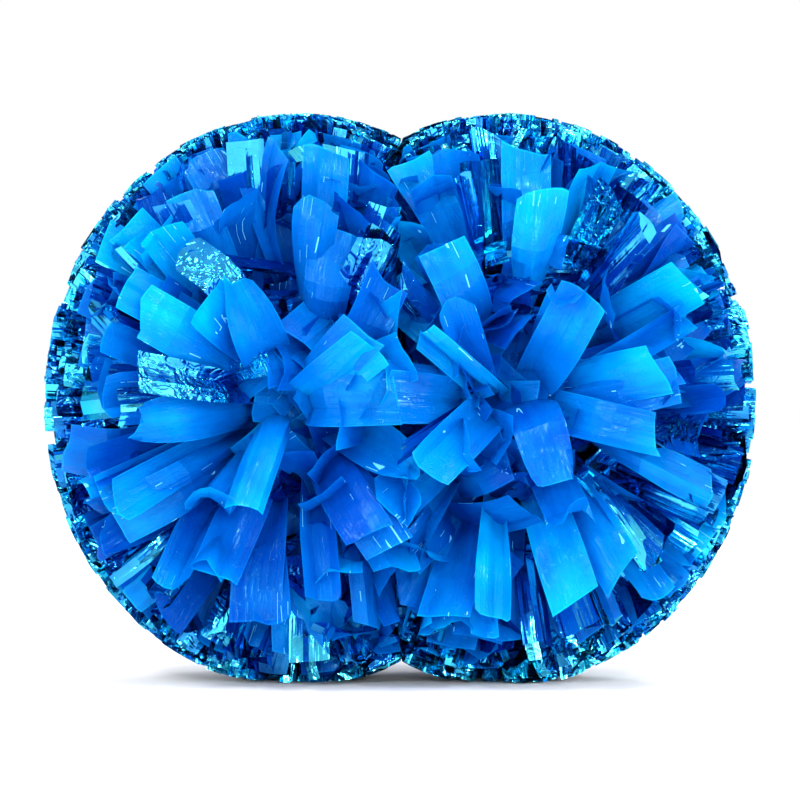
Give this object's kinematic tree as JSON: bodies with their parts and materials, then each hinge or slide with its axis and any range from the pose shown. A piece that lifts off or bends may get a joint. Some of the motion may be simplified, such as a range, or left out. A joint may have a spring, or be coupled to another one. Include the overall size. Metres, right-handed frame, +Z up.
{
  "type": "cheer pom pom",
  "caption": "Baton-handled cheer pom pom: a plastic grip with a round, full tuft of plastic and foil film strips on each end, for shaking in one hand.",
  "frame": {"origin": "on the surface that the pom pom stands on, under the middle of the baton", "axes": "+X along the baton, to the right as seen from the front; +Y to the back, where the hand reaches in; +Z up"},
  "size_m": [0.3348, 0.2672, 0.2656],
  "materials": {
    "plastic_film": "satin, translucent",
    "foil_film": "metallised, mirror-like, crinkled",
    "grip_plastic": "satin, moulded",
    "spool_plastic": "satin, moulded",
    "tie_nylon": "natural nylon, slightly glossy"
  },
  "bodies": {
    "handle": {"grip_tube": "grip_plastic", "left_spool": "spool_plastic", "right_spool": "spool_plastic"},
    "left_tuft": {"left_cable_tie": "tie_nylon", "left_plastic_sheet_1": "plastic_film", "left_plastic_sheet_2": "plastic_film", "left_plastic_sheet_3": "plastic_film", "left_plastic_sheet_4": "plastic_film", "left_plastic_sheet_5": "plastic_film", "left_plastic_sheet_6": "plastic_film", "left_plastic_sheet_7": "plastic_film", "left_plastic_sheet_8": "plastic_film", "left_foil_sheet_1": "foil_film", "left_foil_sheet_2": "foil_film", "left_foil_sheet_3": "foil_film", "left_foil_sheet_4": "foil_film", "left_foil_sheet_5": "foil_film", "left_foil_sheet_6": "foil_film", "left_foil_sheet_7": "foil_film", "left_foil_sheet_8": "foil_film"},
    "right_tuft": {"right_cable_tie": "tie_nylon", "right_plastic_sheet_1": "plastic_film", "right_plastic_sheet_2": "plastic_film", "right_plastic_sheet_3": "plastic_film", "right_plastic_sheet_4": "plastic_film", "right_plastic_sheet_5": "plastic_film", "right_plastic_sheet_6": "plastic_film", "right_plastic_sheet_7": "plastic_film", "right_plastic_sheet_8": "plastic_film", "right_foil_sheet_1": "foil_film", "right_foil_sheet_2": "foil_film", "right_foil_sheet_3": "foil_film", "right_foil_sheet_4": "foil_film", "right_foil_sheet_5": "foil_film", "right_foil_sheet_6": "foil_film", "right_foil_sheet_7": "foil_film", "right_foil_sheet_8": "foil_film"}
  },
  "joints": [
    {"name": "left_tuft_turn", "type": "hinge", "parent": "handle", "child": "left_tuft", "pos_m": [-0.0485, 0, 0.132], "axis": [1, 0, 0], "continuous": true},
    {"name": "right_tuft_turn", "type": "hinge", "parent": "handle", "child": "right_tuft", "pos_m": [0.0485, 0, 0.132], "axis": [1, 0, 0], "continuous": true}
  ]
}
